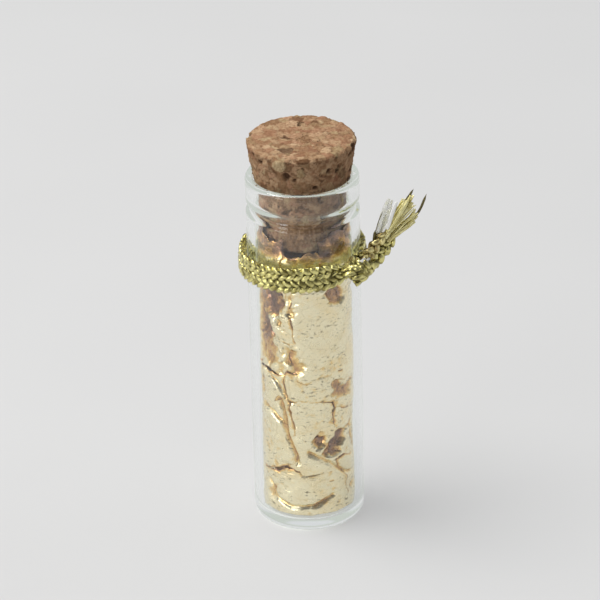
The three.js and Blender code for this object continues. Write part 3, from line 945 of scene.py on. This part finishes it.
def folds(x, y, rng, spacing):
    """Heights from 0 to 1 over a sheet: flat facets between random points, meeting in creases."""
    turn = rng.uniform(0, math.pi)
    phases = rng.uniform(0, TURN, 4)
    a = (x * math.cos(turn) + y * math.sin(turn)) / spacing
    b = (y * math.cos(turn) - x * math.sin(turn)) / spacing
    a = a + 0.32 * np.sin(1.7 * b + phases[0]) + 0.14 * np.sin(3.7 * b + phases[1])
    b = b + 0.32 * np.sin(1.5 * a + phases[2]) + 0.14 * np.sin(4.1 * a + phases[3])
    i, j = np.floor(a).astype(int), np.floor(b).astype(int)
    s, t = a - i, b - j
    heights = rng.uniform(0, 1, (61, 61))
    near, right = heights[i % 61, j % 61], heights[(i + 1) % 61, j % 61]
    above, far = heights[i % 61, (j + 1) % 61], heights[(i + 1) % 61, (j + 1) % 61]
    lower = near + s * (right - near) + t * (above - near)
    upper = far + (1 - s) * (above - far) + (1 - t) * (right - far)
    return np.where(s + t < 1, lower, upper)


def ragged(share, length, rng):
    """How far a torn edge strays, in millimetres, along an edge of that length."""
    stray = np.zeros_like(share)
    for spacing, reach in ((3.2, 0.5), (1.1, 0.28), (0.4, 0.1)):
        count = max(3, round(length / spacing) + 1)
        stray += np.interp(share, np.linspace(0, 1, count), rng.uniform(-reach, reach, count))
    return stray


def sink_depth(x, y):
    """How far the leaf sinks from the glass in the hollows and creases, at arc lengths x and heights y."""
    rng = np.random.default_rng(70)
    round_the_vial = TURN * LEAF_RADIUS
    rough = 0.9 * (folds(x, y, rng, 1.7) - 0.5) + 0.5 * (folds(x, y, rng, 0.6) - 0.5)
    depth = np.zeros_like(x)
    for angle, height, along, up, turn, deep in HOLLOWS:
        a = (x - math.radians(angle) * LEAF_RADIUS + round_the_vial / 2) % round_the_vial - round_the_vial / 2
        b = y - height
        c, s = math.cos(math.radians(turn)), math.sin(math.radians(turn))
        share = 1 - np.hypot((a * c + b * s) / along, (b * c - a * s) / up) + rough
        depth = np.maximum(depth, deep * np.clip(2 * share, 0, 1))
    depth *= 0.4 + 0.35 * folds(x, y, rng, 1.1) + 0.25 * folds(x, y, rng, 0.45)
    for line in CREASES:
        points = np.array(line) * [math.radians(LEAF_RADIUS), 1]
        for start, end in zip(points, points[1:]):
            way = end - start
            share = np.clip(((x - start[0]) * way[0] + (y - start[1]) * way[1]) / (way @ way), 0, 1)
            away = np.hypot(x - start[0] - way[0] * share, y - start[1] - way[1] * share)
            depth = np.maximum(depth, 0.42 * np.exp(-((away / 0.26) ** 2)))
    return depth


def flake_grid(corners, rng, ragged_reach=1.0):
    """A grid of points over a flake with torn edges: (u, v) shares, arc lengths, heights and size."""
    corners = np.array(corners, float) * [math.radians(LEAF_RADIUS), 1]
    top_left, top_right, bottom_right, bottom_left = corners
    width = max(top_right[0] - top_left[0], bottom_right[0] - bottom_left[0])
    height = max(top_left[1] - bottom_left[1], top_right[1] - bottom_right[1])
    columns, rows = round(width / LEAF_SPACING), round(height / LEAF_SPACING)
    u, v = np.meshgrid(np.linspace(0, 1, columns), np.linspace(0, 1, rows))
    low = bottom_left + (bottom_right - bottom_left) * u[..., None]
    high = top_left + (top_right - top_left) * u[..., None]
    x, y = np.moveaxis(low + (high - low) * v[..., None], -1, 0)
    x = x + (u - 0.5) * 2 * LEAF_OVERLAP + (1 - u) * ragged(v, height, rng) + u * ragged(v, height, rng)
    y = y + (v - 0.5) * 2 * LEAF_OVERLAP + (1 - v) * ragged(u, width, rng)
    y = y + v**3 * ragged_reach * ragged(u, width, rng)
    return u, v, x, y, width, height


def sheet_piece(name, rings, angle, heights, sink_shade, material, node):
    """A closed thin sheet from a grid of radii, angles and heights."""
    rows, columns = rings.shape
    sheets = []
    for inset in (0, LEAF_THICKNESS):
        ring = rings - inset
        sheets.append(np.stack([ring * np.cos(angle), ring * np.sin(angle), heights], axis=-1).reshape(-1, 3))
    count = rows * columns
    faces = grid_faces(rows, columns)
    faces += [tuple(reversed([i + count for i in face])) for face in faces]
    border = [
        *range(columns - 1), *range(columns - 1, count - 1, columns),
        *range(count - 1, count - columns, -1), *range(count - columns, 0, -columns),
    ]
    for a, b in zip(border, border[1:] + border[:1]):
        faces.append((b, a, a + count, b + count))
    piece = make_piece(name, np.concatenate(sheets), faces, material, "vial", [node])
    # The painted-shade amounts go to both faces as a grey colour attribute.
    colours = np.stack([sink_shade, sink_shade, sink_shade], axis=-1).reshape(-1, 3).clip(0, 1)
    add_colours(piece, "sink_shade", np.concatenate([colours, colours]))


def add_outer_flake(number, corners, material):
    """A sheet of leaf pressed on the glass, crumpled in the hollows, at its torn edges and in the neck."""
    rng = np.random.default_rng(100 + number)
    in_neck = max(corner[1] for corner in corners) > NECK_START
    u, v, x, y, width, height = flake_grid(corners, rng, 2.6 if in_neck else 1.0)
    y = np.maximum(y, LEAF_FOOT + 0.5 * folds(x, 0 * y, rng, 1.9))
    edge = np.minimum(np.minimum(u, 1 - u) * width, np.minimum(v, 1 - v) * height)
    curl = np.exp(-edge / 0.4) * folds(x, y, rng, 1.3) ** 2
    middle = sum(corner[0] for corner in corners) / 4
    loose = 1 if LEAF_FRONT[0] < middle < LEAF_FRONT[1] else LEAF_LOOSENESS
    clusters = np.clip(folds(x, y, rng, 3.6) * 3 - 1.3 / loose, 0, 1)
    fine = 0.17 * folds(x, y, rng, 0.9) + 0.13 * folds(x, y, rng, 0.45)
    crumple = loose * 0.12 * folds(x, y, rng, 2.8) + clusters * fine
    neck = np.clip((y - NECK_START) / 1.2, 0, 1)
    depth = sink_depth(x, y) + 0.55 * curl + crumple + 0.6 * neck * folds(x, y, rng, 1.5)
    radius = LEAF_RADIUS - 0.07 * (number % 3)
    rings = radius - np.minimum(depth, LEAF_DEEPEST - 0.2 * neck)
    tips = np.exp(-edge / 0.35)
    # Painted shade along the flake's torn edges and in a thin line at its border, where it overlaps the next
    # flake.
    seam_shade = 0.4 * np.exp(-edge / 0.4) * folds(x, y, rng, 0.7)
    seam_shade = seam_shade + 0.30 * np.exp(-((edge / 0.15) ** 2)) * (1 - neck)
    # Painted shade: more where the leaf sinks, amber in the neck for the cord's shadow, paler at the torn
    # tips there.
    sink_shade = np.clip(depth - 0.17 * loose, 0, 1) + 0.33 * neck * (1 - tips) + seam_shade
    name = f"outer_{number:02d}"
    sheet_piece(f"leaf_{name}", rings, x / LEAF_RADIUS, y, sink_shade, material, f"gold_leaf_{name}")


def add_inner_flake(number, corners, material):
    """A crumpled sheet behind the outer ones. The upper four fold over the top and the others under."""
    rng = np.random.default_rng(300 + number)
    upper = number <= 4
    corners = [list(corner) for corner in corners]
    for i in (0, 1) if upper else (2, 3):
        corners[i][1] += LEAF_LID if upper else -LEAF_LID
    x, y = flake_grid(corners, rng)[2:4]
    crumple = 0.6 * folds(x, y, rng, 2.6) + 0.4 * folds(x, y, rng, 1.0)
    rings = LEAF_INNER_RADIUS - 0.75 * crumple
    turn_height = LID_TOP if upper else LID_BOTTOM
    over = np.maximum(0, y - turn_height if upper else turn_height - y)
    rings = np.maximum(0.15, rings - over * 1.05)
    lid = turn_height + (0.1 * over + 0.6 * (crumple - 0.4)) * (1 if upper else -0.6)
    heights = np.minimum(np.where(over > 0, lid, y), CORK_LOW - 0.15)
    # Painted shade: the inner flakes are a darker amber, darker still where crumpled.
    sink_shade = 0.25 + 0.35 * crumple
    name = f"inner_{number:02d}"
    sheet_piece(f"leaf_{name}", rings, x / LEAF_RADIUS, heights, sink_shade, material, f"gold_leaf_{name}")


def add_leaf():
    material = leaf_material()
    for number, corners in enumerate(OUTER_FLAKES, 1):
        add_outer_flake(number, corners, material)
    for number, corners in enumerate(INNER_FLAKES, 1):
        add_inner_flake(number, corners, material)


# ---------------------------------------------------------------- stage and light

def add_stage():
    mesh = bpy.data.meshes.new("floor")
    side, drop = 4, 0.1 * MM
    corners = [(-side, -side, -drop), (side, -side, -drop), (side, side, -drop), (-side, side, -drop)]
    mesh.from_pydata(corners, [], [(0, 1, 2, 3)])
    mesh.materials.append(floor_material())
    floor = bpy.data.objects.new("floor", mesh)
    bpy.context.scene.collection.objects.link(floor)


def add_lamp(name, place, size, watts, colour=(1, 1, 1)):
    data = bpy.data.lights.new(name, "AREA")
    data.shape = "DISK"
    data.size = size
    data.energy = watts
    data.color = colour
    lamp = bpy.data.objects.new(name, data)
    lamp.location = place
    lamp.rotation_euler = (CAMERA_TARGET - lamp.location).to_track_quat("-Z", "Y").to_euler()
    bpy.context.scene.collection.objects.link(lamp)


def add_light():
    """A soft lamp overhead and one at the front left, in a pale studio that is dark at the front."""
    world = bpy.data.worlds.new("studio")
    world.use_nodes = True
    tree = world.node_tree
    towards = add_node(tree, "ShaderNodeTexCoord").outputs["Generated"]
    darkest = (0.08, -0.92, 0.38)
    share = add_node(tree, "ShaderNodeVectorMath", {0: towards, 1: darkest}, operation="DOT_PRODUCT")
    sky = ramp(
        tree, share.outputs["Value"],
        (0.0, (0.96, 0.98, 1.0)), (0.35, (0.86, 0.88, 0.90)),
        (0.62, (0.42, 0.42, 0.43)), (0.9, (0.14, 0.14, 0.145)),
    )
    background = tree.nodes["Background"]
    tree.links.new(sky, background.inputs["Color"])
    background.inputs["Strength"].default_value = 0.72
    bpy.context.scene.world = world
    add_lamp("key", (-0.26, 0.02, 0.66), 0.40, 4.2, (1.0, 0.985, 0.96))
    add_lamp("fill", (-0.42, -0.42, 0.15), 0.30, 0.8)
    bpy.context.scene.view_settings.view_transform = "Standard"


add_camera()
add_cord()
add_glass()
add_cork()
add_leaf()
add_stage()
add_light()
